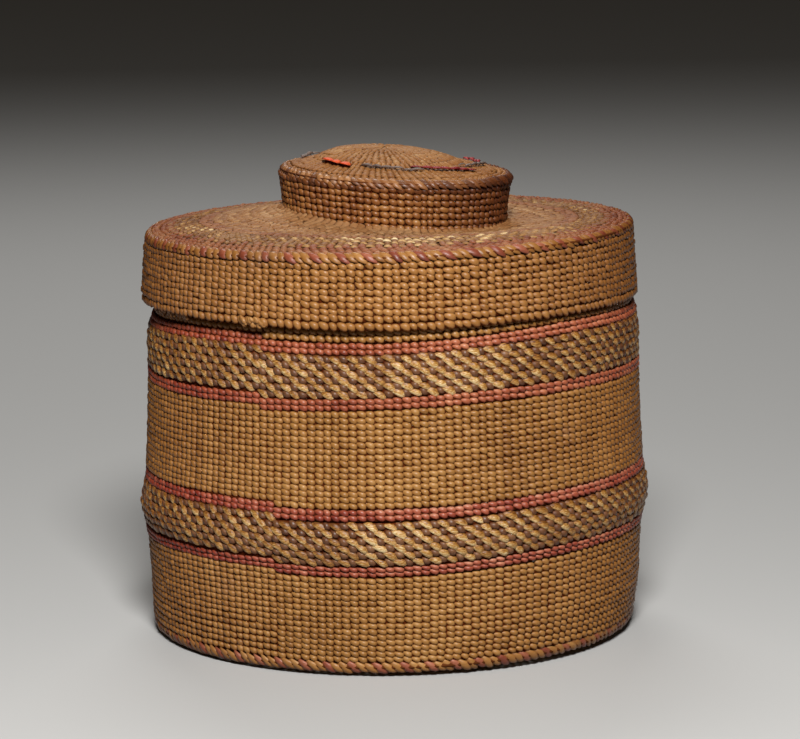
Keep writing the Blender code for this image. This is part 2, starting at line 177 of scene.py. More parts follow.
def makeStitch(shape):
    # one stitch in its own units, with its unwrapped map and each corner's own place kept for later
    sides, stations = stitchShapes[shape]
    steps = len(stations) - 1
    bm = bmesh.new()
    place = bm.verts.layers.float_vector.new("place")
    edge = bm.verts.layers.float.new("edge")
    layer = bm.loops.layers.uv.new("OFBake")
    bmesh.ops.create_uvsphere(bm, u_segments=sides, v_segments=steps, radius=1)
    bmesh.ops.rotate(bm, verts=bm.verts, cent=(0, 0, 0), matrix=Matrix.Rotation(-pi / 2, 3, "X"))
    levels = [-cos(pi * k / steps) for k in range(steps + 1)]
    station = {v: min(range(steps + 1), key=lambda k: abs(v.co.y - levels[k])) for v in bm.verts}
    bearing = {v: np.arctan2(v.co.z, -v.co.x) for v in bm.verts}  # the map's seam lies on the hidden back
    for face in bm.faces:
        face.smooth = True
        ring = [bearing[loop.vert] for loop in face.loops if 0 < station[loop.vert] < steps]
        middle = np.angle(sum(np.exp(1j * b) for b in ring))
        for loop in face.loops:
            tip = station[loop.vert] in (0, steps)
            off = 0 if tip else np.angle(np.exp(1j * (bearing[loop.vert] - middle)))
            loop[layer].uv = (station[loop.vert] / steps, (middle % turnRound + off) / turnRound)
    for k, (along, up, out, high, deep) in enumerate(stations):
        ring = [v for v in bm.verts if station[v] == k]
        spread = max(sin(pi * k / steps), 1e-6)
        bmesh.ops.scale(bm, verts=ring, vec=(deep / spread, 1, high / spread))
        bmesh.ops.translate(bm, verts=ring, vec=(out, along - levels[k], up))
    for v in bm.verts:
        v[place] = v.co
        v[edge] = sin(bearing[v]) if 0 < station[v] < steps else 0
    mesh = bpy.data.meshes.new("stitch_" + shape)
    bm.to_mesh(mesh)
    bm.free()
    return mesh


def ringOf(shape, count):
    # a course of like stitches, spun once and used for every course of that count
    if (shape, count) in rings:
        return rings[shape, count]
    single = makeStitch(shape)
    corners = len(single.vertices)
    bm = bmesh.new()
    bm.from_mesh(single)
    if count > 1:
        bmesh.ops.spin(bm, geom=bm.verts[:] + bm.edges[:] + bm.faces[:], cent=(0, 0, 0), axis=(0, 0, 1),
                       angle=turnRound * (count - 1) / count, steps=count - 1, use_duplicate=True)
    mesh = bpy.data.meshes.new("course_" + shape)
    bm.to_mesh(mesh)
    bm.free()
    bpy.data.meshes.remove(single)
    rings[shape, count] = mesh, corners
    return rings[shape, count]


def warpTable(count, unevenness, seed, start=0.0):
    # where each column stands round the basket, and the angle that it takes
    rng = np.random.default_rng(seed)
    steps = 1 + unevenness * np.clip(rng.standard_normal(count), -2, 2)
    edges = np.concatenate([[0], np.cumsum(steps)]) * turnRound / steps.sum() + start
    return (edges[:-1] + edges[1:]) / 2, np.diff(edges)


def ripple(angle, height, seed, size):
    # a soft unevenness that closes on itself round the basket
    rng = np.random.default_rng(seed)
    total = np.zeros_like(angle)
    for k in range(2, 8):
        phase, twist, part = rng.uniform(0, turnRound), rng.uniform(-60, 60), rng.uniform(0.4, 1) / k**0.7
        total = total + part * np.cos(k * angle + phase + twist * height)
    return size * total


def swayAt(sway, x, y):
    # how a round leaves the level: a lean along x in mm per mm, a lift, two waves and four waves a turn in mm,
    # and a lean along y
    lean, lift, evenTwo, oddTwo, evenFour, tip = sway
    angle = np.arctan2(y, x)
    waves = evenTwo * np.cos(2 * angle) + oddTwo * np.sin(2 * angle) + evenFour * np.cos(4 * angle)
    return lean * x + tip * y + mm * (lift + waves)


def between(table, place):
    # a row of values between the rows of a table
    rows = list(table.values())
    return [np.interp(place, list(table), [row[k] for row in rows]) for k in range(len(rows[0]))]


def columnTone(count):
    # some columns are a little lighter all the way up
    return np.random.default_rng(900 + count).standard_normal(count)


def layStitches(place, number, run, seed, rng):
    # puts a course's stitches on their course with the unevenness of handwork, and gives their tones too
    course, angles, widths = run["course"], run["angles"], run["widths"]
    side, count, tilt, pitch = run.get("side", 1), len(angles), course["tilt"], course["pitch"]
    radius = course["radius"] - run["depth"] * mm * cos(tilt)
    height = course["height"] - run["depth"] * mm * sin(tilt)
    width = widths * radius
    hand = run.get("hand", 1.0)
    reach = uneven["out"] * mm, uneven["along"] * width.mean(), uneven["up"] * pitch
    sizes = 1 + hand * np.clip(rng.standard_normal((count, 3)), -2, 2) * uneven["sizes"]
    moves = hand * np.clip(rng.standard_normal((count, 3)), -2, 2) * reach
    turns = hand * uneven["turn"] * rng.standard_normal(count)
    out = place[:, 0] * mm * sizes[number, 0] * side + moves[number, 0]
    along = place[:, 1] * (width * sizes[:, 1])[number] * side + moves[number, 1]
    up = place[:, 2] * pitch * sizes[number, 2] + moves[number, 2]
    turn = turns[number]
    along, up = along * np.cos(turn) - up * np.sin(turn), along * np.sin(turn) + up * np.cos(turn)
    progress = ((angles - course["jog"]) % turnRound - (front - course["jog"]) % turnRound) / turnRound
    up = up + (pitch * course["rise"] * progress)[number]
    radial = radius + out * cos(tilt) - up * sin(tilt)
    level = height + out * sin(tilt) + up * cos(tilt)
    angle = angles[number] + along / np.maximum(radial, 0.4 * mm)
    radial = radial + ripple(angle, level, seed, course["dent"])
    x = radial * np.cos(angle) + course["shift"]
    y = radial * np.sin(angle)
    sway = between(course["table"], radial) if "table" in course else course["sway"]
    z = level + swayAt(sway, x, y)
    tone = 0.5 + uneven["stitchTone"] * rng.standard_normal(count)
    tone += uneven["courseTone"] * rng.standard_normal()
    tone += ripple(angles, np.full(count, height), seed + 2, uneven["roundTone"]) + run.get("tone", 0.0)
    tone += uneven["columnTone"] * columnTone(count)
    return np.stack([x, y, z], 1), np.clip(tone, 0, 1)[number]


def cellOf(index, total, low, high):
    # the index-th cell of a grid that fills the part of the map between two heights
    across = max(1, ceil((total / (high - low)) ** 0.5))
    rows = ceil(total / across)
    return index % across / across, low + index // across * (high - low) / rows, 1 / across, (high - low) / rows


def addShell(bm, section):
    # a closed shell spun from its (radius, height) corners, with its own strip of the map
    closed = min(abs(r) for r, z in section) > 0.05 * mm
    profile = bmesh.new()
    number = profile.verts.layers.float.new("section")
    layer = profile.loops.layers.uv.new("OFBake")
    corners = [profile.verts.new((max(r, 0), 0, z)) for r, z in section]
    edges = [profile.edges.new(pair) for pair in zip(corners, corners[1:])]
    if closed:
        edges.append(profile.edges.new((corners[-1], corners[0])))
    for i, v in enumerate(corners):
        v[number] = i
    bmesh.ops.spin(profile, geom=corners + edges, cent=(0, 0, 0), axis=(0, 0, 1), angle=turnRound,
                   steps=shellSteps, use_merge=True)
    bmesh.ops.remove_doubles(profile, verts=profile.verts, dist=0.01 * mm)
    bmesh.ops.recalc_face_normals(profile, faces=profile.faces)
    steps = len(section)
    for face in profile.faces:
        face.smooth = True
        face.material_index = 1
        middle = face.calc_center_median()
        bearing = np.arctan2(middle.y, middle.x)
        parts = [loop.vert[number] for loop in face.loops]
        wraps = max(parts) - min(parts) > 2
        for loop in face.loops:
            co, part = loop.vert.co, loop.vert[number]
            off = 0
            if hypot(co.x, co.y) > 0.02 * mm:
                off = np.angle(np.exp(1j * (np.arctan2(co.y, co.x) - bearing)))
            if wraps and part < steps / 2:
                part += steps
            loop[layer].uv = (min(max((bearing % turnRound + off) / turnRound, 0), 1),
                              mapPlan["shell"] + mapPlan["shellTall"] * part / steps)
    mesh = bpy.data.meshes.new("shell")
    profile.to_mesh(mesh)
    profile.free()
    bm.from_mesh(mesh)
    bpy.data.meshes.remove(mesh)


def addBacking(bm, line, thick):
    # the shell behind the stitches, from a line of (radius, height, tilt) and its two depths
    outer = [(r - thick[0] * mm * cos(t), z - thick[0] * mm * sin(t)) for r, z, t in line]
    inner = [(r - thick[1] * mm * cos(t), z - thick[1] * mm * sin(t)) for r, z, t in line]
    addShell(bm, outer + inner[::-1])


def readValues(mesh, name, kind, width):
    data = mesh.attributes[name].data
    values = np.zeros(len(data) * width, np.float32)
    data.foreach_get(kind, values)
    return values.reshape(-1, width) if width > 1 else values


def packMap(mesh, stitch, hidden, outerCount, innerCount):
    # gives each stitch a cell of the map, and keeps the hidden ones in a part of their own
    corner = np.zeros(len(mesh.loops), np.int32)
    mesh.loops.foreach_get("vertex_index", corner)
    uv = np.zeros(len(mesh.loops) * 2, np.float32)
    mesh.uv_layers["OFBake"].data.foreach_get("uv", uv)
    uv = uv.reshape(-1, 2)
    top, inset = mapPlan["stitches"], mapPlan["inset"]
    split = mapPlan["shown"] if innerCount else top
    parts = (False, 0, split, outerCount), (True, split + mapPlan["gap"], top, innerCount)
    for secret, low, high, amount in parts:
        chosen = (stitch[corner] >= 0) & (hidden[corner] == secret)
        if amount:
            left, bottom, wide, tall = cellOf(stitch[corner][chosen], amount, low, high)
            uv[chosen, 0] = left + wide * (inset + (1 - 2 * inset) * uv[chosen, 0])
            uv[chosen, 1] = bottom + tall * (inset + (1 - 2 * inset) * np.clip(uv[chosen, 1], 0, 1))
    mesh.uv_layers["OFBake"].data.foreach_set("uv", uv.ravel())


def weave(name, runs, keys, backing, seed, settle=None):
    # builds one woven piece from its runs of stitches and the shell behind them
    rng = np.random.default_rng(seed)
    bm = bmesh.new()
    spans = []
    for run in runs:
        mesh, corners = ringOf(run["shape"], len(run["angles"]))
        first = len(bm.faces)
        bm.from_mesh(mesh)
        if run.get("finish", 0):
            bm.faces.ensure_lookup_table()
            for face in bm.faces[first:]:
                face.material_index = run["finish"]
        spans.append((corners, len(run["angles"])))
    if backing:
        addBacking(bm, *backing)
    mesh = bpy.data.meshes.new(name)
    bm.to_mesh(mesh)
    bm.free()
    total = len(mesh.vertices)
    co = np.zeros(total * 3, np.float32)
    mesh.vertices.foreach_get("co", co)
    co = co.reshape(-1, 3).astype(float)
    place = readValues(mesh, "place", "vector", 3).astype(float)
    edge = readValues(mesh, "edge", "value", 1)
    tone, dye, crest = np.full(total, 0.5), np.zeros(total), np.zeros(total)
    grain = co / mm
    stitch = np.full(total, -1)
    hidden = np.zeros(total, bool)
    start, outerCount, innerCount = 0, 0, 0
    for run, (corners, count) in zip(runs, spans):
        part = slice(start, start + corners * count)
        number = np.repeat(np.arange(count), corners)
        co[part], tone[part] = layStitches(place[part], number, run, seed, rng)
        dye[part] = run["dye"][number] if "dye" in run else 0.0
        crestAt, deepest = crestOf[run["shape"]], deepOf[run["shape"]]
        crest[part] = np.clip((place[part, 0] - deepest) / (crestAt - deepest), 0, 1)
        grain[part] = place[part] * grainUnits + rng.uniform(0, 900, (count, 3))[number]
        if run.get("side", 1) < 0:
            stitch[part], hidden[part] = innerCount + number, True
            innerCount += count
        else:
            stitch[part] = outerCount + number
            outerCount += count
        start += corners * count
    if settle:
        co[start:] = settle(co[start:])
    mesh.vertices.foreach_set("co", co.ravel())
    packMap(mesh, stitch, hidden, outerCount, innerCount)
    # lower runs from a stitch's upper edge to its lower edge and drives the painted highlight and shade across
    # it; crest drives the painted shade in the gaps
    for label, values in (("tone", tone), ("dye", dye), ("crest", crest), ("lower", 0.5 - edge / 2)):
        mesh.attributes.new(label, "FLOAT", "POINT").data.foreach_set("value", values.astype(np.float32))
    grainData = mesh.attributes.new("grain", "FLOAT_VECTOR", "POINT").data
    grainData.foreach_set("vector", grain.astype(np.float32).ravel())
    for old in ("place", "section", "edge"):
        if old in mesh.attributes:
            mesh.attributes.remove(mesh.attributes[old])
    for key in keys:
        mesh.materials.append(finishes[key])
    mesh.update()
    piece = bpy.data.objects.new(name, mesh)
    bpy.context.scene.collection.objects.link(piece)
    return piece


def finishPiece(piece, body, node):
    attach(piece, body)
    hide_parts(node)


# finishes

def paint(red, green, blue):
    # a screen colour, 0 to 255, as the linear colour that shaders take
    linear = [c / 255 / 12.92 if c <= 10 else ((c / 255 + 0.055) / 1.055) ** 2.4 for c in (red, green, blue)]
    return (*linear, 1.0)


class Wire:
    # a number that changes over the surface, with sums written as in Python
    def __init__(self, nodes, socket):
        self.nodes, self.socket = nodes, socket

    def __add__(self, other):
        return self.nodes.maths("ADD", self, other)

    def __mul__(self, other):
        return self.nodes.maths("MULTIPLY", self, other)

    def __sub__(self, other):
        return self.nodes.maths("SUBTRACT", self, other)

    def __rsub__(self, other):
        return self.nodes.maths("SUBTRACT", other, self)

    def __pow__(self, other):
        return self.nodes.maths("POWER", self, other)

    __radd__ = __add__
    __rmul__ = __mul__


class Nodes:
    # adds nodes to the tree of a material or the world
    def __init__(self, owner):
        owner.use_nodes = True
        self.tree = owner.node_tree

    def node(self, kind, settings=None, sockets=None):
        node = self.tree.nodes.new(kind)
        for label, value in (settings or {}).items():
            if label == "stops":
                ramp = node.color_ramp.elements
                while len(ramp) < len(value):
                    ramp.new(0.5)
                for element, (position, colour) in zip(ramp, value):
                    element.position, element.color = position, colour
            else:
                setattr(node, label, value)
        for label, value in (sockets or {}).items():
            self.plug(self.find(node.inputs, label), value)
        return node

    def find(self, sockets, label):
        named = [s for s in sockets if s.identifier == label] or [s for s in sockets if s.name == label]
        return named[0]

    def plug(self, socket, value):
        if isinstance(value, Wire):
            self.tree.links.new(value.socket, socket)
        elif isinstance(value, bpy.types.NodeSocket):
            self.tree.links.new(value, socket)
        else:
            socket.default_value = value

    def maths(self, operation, *values, clamp=False):
        node = self.tree.nodes.new("ShaderNodeMath")
        node.operation, node.use_clamp = operation, clamp
        for socket, value in zip(node.inputs, values):
            self.plug(socket, value)
        return Wire(self, node.outputs[0])

    def read(self, attribute, output="Fac"):
        node = self.node("ShaderNodeAttribute", {"attribute_name": attribute})
        return Wire(self, node.outputs[output]) if output == "Fac" else node.outputs[output]

    def blend(self, amount, first, second, mode="MIX"):
        node = self.node("ShaderNodeMix", {"data_type": "RGBA", "blend_type": mode, "clamp_factor": True},
                         {"Factor_Float": amount, "A_Color": first, "B_Color": second})
        return self.find(node.outputs, "Result_Color")

    def noise(self, vector, scale, detail=2.0, roughness=0.5):
        node = self.node("ShaderNodeTexNoise", None, {"Vector": vector, "Scale": scale, "Detail": detail,
                                                      "Roughness": roughness})
        return Wire(self, node.outputs["Fac"])

    def ramp(self, amount, stops):
        # each stop is its position and its red, green and blue
        painted = [(position, paint(*colour)) for position, *colour in stops]
        return self.node("ShaderNodeValToRGB", {"stops": painted}, {"Fac": amount}).outputs["Color"]

    def surface(self, **values):
        shader = self.tree.nodes["Principled BSDF"]
        for label, value in values.items():
            self.plug(self.find(shader.inputs, label.replace("_", " ")), value)

    def seen(self):
        # 1 for what the camera sees, straight, mirrored or through glass, and 0 for the light that it throws
        path = self.node("ShaderNodeLightPath").outputs
        return Wire(self, path["Is Camera Ray"]) + path["Is Glossy Ray"] + path["Is Transmission Ray"]


def strandFinish(name, look):
    # root or grass strand: streaked along its length, toned stitch by stitch, with painted shade in the gaps,
    # painted shade towards the sides and a painted highlight and shade across each stitch
    material = bpy.data.materials.new(name)
    f = Nodes(material)
    place = f.node("ShaderNodeTexCoord").outputs["Object"]
    grain = f.read("grain", "Vector")
    drawn = f.node("ShaderNodeVectorMath", {"operation": "MULTIPLY"},
                   {"Vector": grain, "Vector_001": look["streakSize"]})
    streak = f.noise(drawn.outputs[0], 1.0, 3.0, 0.6)
    patch = f.noise(place, look["patchScale"], 3.0, 0.55)
    fleck = f.noise(place, look["fleckScale"], 2.0, 0.5)
    tone, crest, dye, lower = f.read("tone"), f.read("crest"), f.read("dye"), f.read("lower")
    # painted highlight and shade across each stitch: the lower-edge setting makes its lower side lighter and
    # its upper side darker, or the reverse when negative
    shade = (0.5 + (tone - 0.5) * look["toneSpread"] + (patch - 0.5) * look["patchSpread"]
             + (streak - 0.5) * look["streakSpread"] + (fleck - 0.5) * look["fleckSpread"]
             + (lower - 0.5) * look["lowerPaintedLight"])
    colour = f.blend(dye, f.ramp(shade, look["colours"]), f.ramp(shade, look["dyed"]))
    worn = f.noise(place, look["wornScale"], 4.0, 0.6) - look["wornFrom"]
    worn = f.maths("MULTIPLY", worn, look["wornEdge"], clamp=True)
    colour = f.blend(worn * look["wornAmount"], colour, paint(*look["wornColour"]))
    # painted shade: the colour darkens towards the object's left and right sides, where the light falls off
    across = Wire(f, f.node("ShaderNodeSeparateXYZ", None, {"Vector": place}).outputs["X"])
    aside = (across - look["sideShadeMiddle"]) * (1.0 / look["sideShadeReach"])
    sideShade = f.maths("MULTIPLY", aside, aside, clamp=True)
    colour = f.blend(sideShade, colour, (*look["sideShadeTint"], 1), "MULTIPLY")
    # painted shade in the gaps: the deeper a point lies below its stitch's crest, the more it takes the gap
    # colour
    gap = f.maths("MULTIPLY", 1.0 - crest, look["gapShadeDepth"], clamp=True)
    colour = f.blend(gap ** look["gapShadeEdge"], colour, paint(*look["gapShadeColour"]))
    rough = (look["roughness"] + (streak - 0.5) * look["roughStreak"] + (patch - 0.5) * look["roughPatch"]
             + gap * look["roughGap"])
    bump = f.node("ShaderNodeBump", None, {"Strength": look["bump"], "Distance": look["bumpDepth"],
                                           "Height": streak + fleck * 0.25})
    f.surface(Base_Color=colour, Roughness=rough, Specular_IOR_Level=look["specular"],
              Normal=bump.outputs["Normal"])
    return material


# in each look the flank settings paint shade towards the left and right sides, the gap settings paint shade
# between the stitches, and the lower-edge setting paints a highlight and shade across each stitch
plainLook = {
    "colours": [(0.05, 106, 58, 16), (0.35, 152, 103, 47), (0.62, 174, 123, 63), (0.95, 196, 147, 86)],
    "dyed": [(0.1, 96, 40, 24), (0.5, 142, 72, 46), (0.9, 176, 104, 70)],
    "toneSpread": 0.7, "patchScale": 26.0, "patchSpread": 0.55, "fleckScale": 900.0, "fleckSpread": 0.25,
    "streakSize": (4.0, 0.55, 4.0), "streakSpread": 0.5, "lowerPaintedLight": -0.3,
    "wornScale": 60.0, "wornFrom": 0.62, "wornEdge": 7.0, "wornAmount": 0.3, "wornColour": (166, 126, 98),
    "sideShadeTint": (0.70, 0.56, 0.37), "sideShadeMiddle": 0.0, "sideShadeReach": 0.075,
    "gapShadeDepth": 1.0, "gapShadeEdge": 2.4, "gapShadeColour": (88, 28, 0),
    "roughness": 0.36, "roughStreak": 0.22, "roughPatch": 0.12, "roughGap": 0.45,
    "specular": 0.5, "bump": 0.5, "bumpDepth": 0.00012,
}
# the lid's sides get stronger painted shade
lidLook = {
    **plainLook, "sideShadeTint": (0.54, 0.42, 0.28),
    "colours": [(0.05, 108, 58, 16), (0.35, 154, 102, 46), (0.62, 174, 120, 62), (0.95, 196, 146, 86)],
}
ridgeLook = {
    **lidLook, "gapShadeColour": (96, 44, 14),
    "dyed": [(0.1, 98, 38, 22), (0.5, 148, 76, 52), (0.9, 190, 120, 88)],
}
topLook = {
    **plainLook, "specular": 0.25, "roughness": 0.55, "toneSpread": 0.7, "streakSpread": 0.8,
    "colours": [(0.05, 112, 68, 32), (0.4, 148, 100, 58), (0.65, 166, 120, 76), (0.95, 204, 166, 122)],
    "wornFrom": 0.5, "wornAmount": 0.5, "wornColour": (176, 136, 96), "gapShadeColour": (84, 42, 14),
}
# the knob's colours are darker from handling, and its painted side shade is the strongest, centred left of the
# middle so that the right side is darkest
knobLook = {
    **plainLook, "sideShadeTint": (0.40, 0.26, 0.18), "sideShadeMiddle": -0.012, "sideShadeReach": 0.046,
    "colours": [(0.05, 62, 26, 6), (0.4, 112, 62, 26), (0.65, 144, 90, 42), (0.95, 176, 124, 66)],
    "dyed": [(0.1, 60, 32, 20), (0.5, 104, 66, 42), (0.9, 146, 104, 70)],
}
rimLook = {
    **knobLook,
    "colours": [(0.05, 84, 42, 14), (0.4, 136, 84, 44), (0.65, 164, 112, 66), (0.95, 196, 148, 104)],
    "dyed": [(0.1, 76, 40, 24), (0.5, 118, 76, 50), (0.9, 164, 120, 86)],
}
# the stripes' painted side shade is centred right of the middle, so they darken most on the left
salmonLook = {
    **plainLook, "wornAmount": 0.2, "lowerPaintedLight": -0.5, "toneSpread": 1.0, "gapShadeColour": (88, 24, 8),
    "colours": [(0.05, 118, 46, 24), (0.4, 164, 86, 56), (0.7, 184, 108, 72), (0.95, 206, 138, 100)],
    "sideShadeTint": (0.70, 0.40, 0.34), "sideShadeMiddle": 0.018,
}
crimsonLook = {
    **salmonLook, "gapShadeColour": (84, 20, 6),
    "colours": [(0.05, 98, 28, 16), (0.4, 148, 64, 44), (0.7, 176, 94, 66), (0.95, 206, 138, 106)],
}
roseLook = {
    **topLook, "wornColour": (162, 116, 78), "toneSpread": 0.9,
    "colours": [(0.05, 98, 46, 26), (0.4, 140, 80, 52), (0.7, 160, 104, 70), (0.95, 184, 136, 98)],
}
crownLook = {
    **topLook, "wornColour": (170, 124, 78), "wornAmount": 0.4,
    "colours": [(0.05, 112, 64, 26), (0.4, 146, 95, 49), (0.65, 162, 113, 65), (0.95, 200, 158, 106)],
}
wornLook = {
    **topLook,
    "colours": [(0.05, 96, 58, 30), (0.4, 128, 84, 48), (0.7, 146, 100, 62), (0.95, 168, 124, 80)],
}
fadedLook = {
    **topLook,
    "colours": [(0.05, 112, 66, 40), (0.4, 146, 94, 62), (0.7, 160, 108, 72), (0.95, 178, 130, 92)],
}
# the grass gets a painted cream highlight along its lower edges
grassLook = {
    **plainLook, "wornAmount": 0.0, "lowerPaintedLight": 0.7, "streakSize": (3.0, 0.8, 6.0), "streakSpread": 2.0,
    "colours": [(0.05, 104, 58, 12), (0.38, 172, 116, 46), (0.62, 208, 158, 82), (0.9, 255, 228, 174)],
    "gapShadeDepth": 1.15, "roughness": 0.34, "specular": 0.7, "bump": 0.9,
}
dustyLook = {
    **topLook, "toneSpread": 1.3, "streakSpread": 0.9, "lowerPaintedLight": 0.3,
    "colours": [(0.1, 108, 68, 30), (0.45, 150, 106, 60), (0.7, 188, 146, 92), (0.95, 236, 210, 162)],
}
darkLook = {
    **plainLook, "gapShadeDepth": 1.2, "wornAmount": 0.2, "lowerPaintedLight": -0.4,
    "colours": [(0.05, 62, 26, 6), (0.4, 100, 61, 35), (0.7, 128, 85, 54), (0.95, 164, 122, 86)],
}
# the backing shells and ridge cores stand for the warps behind the stitches; their dark colours are painted
# shade for what shows through the gaps
backLook = {
    **plainLook, "colours": [(0.0, 64, 20, 0), (1.0, 104, 44, 8)],
    "gapShadeDepth": 0.0, "roughness": 0.85, "specular": 0.1,
}
topBackLook = {**backLook, "colours": [(0.0, 96, 56, 26), (1.0, 124, 80, 44)]}
ridgeBackLook = {**backLook, "colours": [(0.0, 84, 40, 14), (1.0, 120, 68, 30)]}
innerLook = {**plainLook, "colours": [(0.05, 112, 68, 34), (0.5, 160, 110, 60), (0.95, 192, 146, 92)]}

finishes = {key: strandFinish(name, look) for key, name, look in (
    ("root", "rootPlain", plainLook), ("lid", "rootLid", lidLook), ("ridge", "rootRidge", ridgeLook),
    ("top", "rootTop", topLook), ("knob", "rootHandledAndShaded", knobLook), ("rim", "rootRim", rimLook),
    ("salmon", "rootSalmon", salmonLook), ("crimson", "rootCrimson", crimsonLook),
    ("rose", "rootRose", roseLook), ("faded", "rootFaded", fadedLook), ("worn", "rootWorn", wornLook),
    ("crown", "rootCrown", crownLook), ("grass", "grassOverlay", grassLook), ("dark", "rootDark", darkLook),
    ("back", "warpShadow", backLook), ("topBack", "warpShadowTop", topBackLook),
    ("ridgeBack", "warpShadowCore", ridgeBackLook), ("dusty", "grassDusty", dustyLook),
    ("inner", "rootInside", innerLook),
)}
print("finishes made")


# the basket

basketHand = {"columns": 184, "unevenness": 0.05, "seed": 11, "wall": 2.2, "dent": 0.00018, "outset": 0.0002,
              "plainBack": (0.95, 1.4), "bandBack": (1.15, 1.5), "grassHand": 1.3, "darkDepth": 0.12}
basketWarps = warpTable(basketHand["columns"], basketHand["unevenness"], basketHand["seed"])
basketSway = {0.002: (0.005, 0, 0, 0, 0, 0), 0.016: (0.014, 0.2, 0, 0, -0.2, 0),
              0.031: (0.0236, 0.5, 0.1, 0, -0.4, 0), 0.047: (0.0196, 1.2, 0.2, -0.1, -0.15, 0),
              0.060: (0.019, 0.4, -0.1, -0.3, -0.1, 0), 0.080: (0.0160, 0.1, -0.5, -0.7, -0.1, 0),
              0.097: (0.0205, 0.6, 0.0, -0.2, -0.6, 0), 0.119: (0, 0, 0, 0, 0, 0)}
jogTurn = (0.035, 0.060, 0.085), (radians(4.5), radians(3), 0.0)
basketRise = (0.004, 0.014, 0.100, 0.110), (0.0, 1.0, 1.0, 0.0)
basketFoot = (0.002, 0.013), (0.0007, 0.0)


def basketSettle(course):
    # the rounds of the basket aren't level: they climb to the right, and where one climbs to the next lies
    # further round towards the foot. The foot is drawn in a little on the right
    course["jog"] += float(np.interp(course["height"], *jogTurn))
    course["sway"] = between(basketSway, course["height"])
    course["rise"] = float(np.interp(course["height"], *basketRise))
    course["dent"] = basketHand["dent"]
    drawn = float(np.interp(course["height"], *basketFoot))
    course["radius"] += basketHand["outset"] - drawn
    course["shift"] = -drawn
    return course


def wallBacking(courses, thick):
    # the backing line runs through the courses and out to the zone's two edges
    first, last = courses[0], courses[-1]
    line = [(first["radius"], first["height"] - first["pitch"] / 2, first["tilt"])]
    line += [(c["radius"], c["height"], c["tilt"]) for c in courses]
    line.append((last["radius"], last["height"] + last["pitch"] / 2, last["tilt"]))
    return line[::-1], thick


def leanBack(co):
    co = co.copy()
    co[:, 0] -= np.interp(co[:, 2], *basketFoot)
    co[:, 2] += swayAt(between(basketSway, co[:, 2]), co[:, 0], co[:, 1])
    return co


def everyColumn(course, shape, warps, **more):
    return {"course": course, "shape": shape, "angles": warps[0], "widths": warps[1],
            "depth": crestOf[shape], **more}


def everyOther(course, shape, warps, first, **more):
    own = np.arange(first, len(warps[0]), 2)
    return everyColumn(course, shape, (warps[0][own], warps[1][own]), **more)


def insideRun(course, warps, wall):
    return everyColumn(course, "inner", warps, side=-1, depth=wall - crestOf["inner"], finish=2)


def bothSides(courses, warps, wall, shape, **more):
    runs = []
    for course in courses:
        runs += [everyColumn(course, shape, warps, **more), insideRun(course, warps, wall)]
    return runs


def plainZone(name, node, count, finish, seed):
    courses = [basketSettle(c) for c in wallCourses(node, count)]
    piece = weave(name, bothSides(courses, basketWarps, basketHand["wall"], "plain"), (finish, "back", "inner"),
                  wallBacking(courses, basketHand["plainBack"]), seed, leanBack)
    finishPiece(piece, "basket", node)


def bandZone(name, node, count, seed):
    # light grass and dark root change places from stitch to stitch and from course to course
    courses = [basketSettle(c) for c in wallCourses(node, count)]
    runs = []
    for k, course in enumerate(courses):
        runs.append(everyOther(course, "grass", basketWarps, k % 2, hand=basketHand["grassHand"]))
        runs.append(everyOther(course, "dark", basketWarps, (k + 1) % 2, finish=3,
                               depth=crestOf["dark"] + basketHand["darkDepth"]))
        runs.append(insideRun(course, basketWarps, basketHand["wall"]))
    piece = weave(name, runs, ("grass", "back", "inner", "dark"), wallBacking(courses, basketHand["bandBack"]),
                  seed, leanBack)
    finishPiece(piece, "basket", node)


plainZone("wovenLowerWall", "wall_lower", 15, "root", 31)
plainZone("wovenLowStripeUnder", "stripe_lower_1", 2, "crimson", 32)
bandZone("wovenLowerBand", "band_lower", 6, 33)
plainZone("wovenLowStripeOver", "stripe_lower_2", 2, "crimson", 34)
plainZone("wovenMiddleWall", "wall_middle", 16, "root", 35)
plainZone("wovenHighStripeUnder", "stripe_upper_1", 2, "salmon", 36)
bandZone("wovenUpperBand", "band_upper", 6, 37)
plainZone("wovenHighStripeOver", "stripe_upper_2", 2, "salmon", 38)
plainZone("wovenNeck", "wall_neck", 12, "root", 39)
print("basket wall woven")


coreInset = 0.24


def addCore(piece, centre, middle, reach, settle):
    # the round core inside a three-strand course
    bm = bmesh.new()
    bm.from_mesh(piece.data)
    known = len(bm.verts)
    addShell(bm, [(centre + reach * cos(a), middle + reach * sin(a)) for a in np.arange(8) * pi / 4])
    course = settle(courseAt(centre, middle, 0.0, 2 * mm))
    bm.verts.ensure_lookup_table()
    for v in bm.verts[known:]:
        v.co.x += course["shift"]
        v.co.z += float(swayAt(course["sway"], v.co.x, v.co.y))
    bm.to_mesh(piece.data)
    bm.free()
    piece.data.attributes.remove(piece.data.attributes["section"])


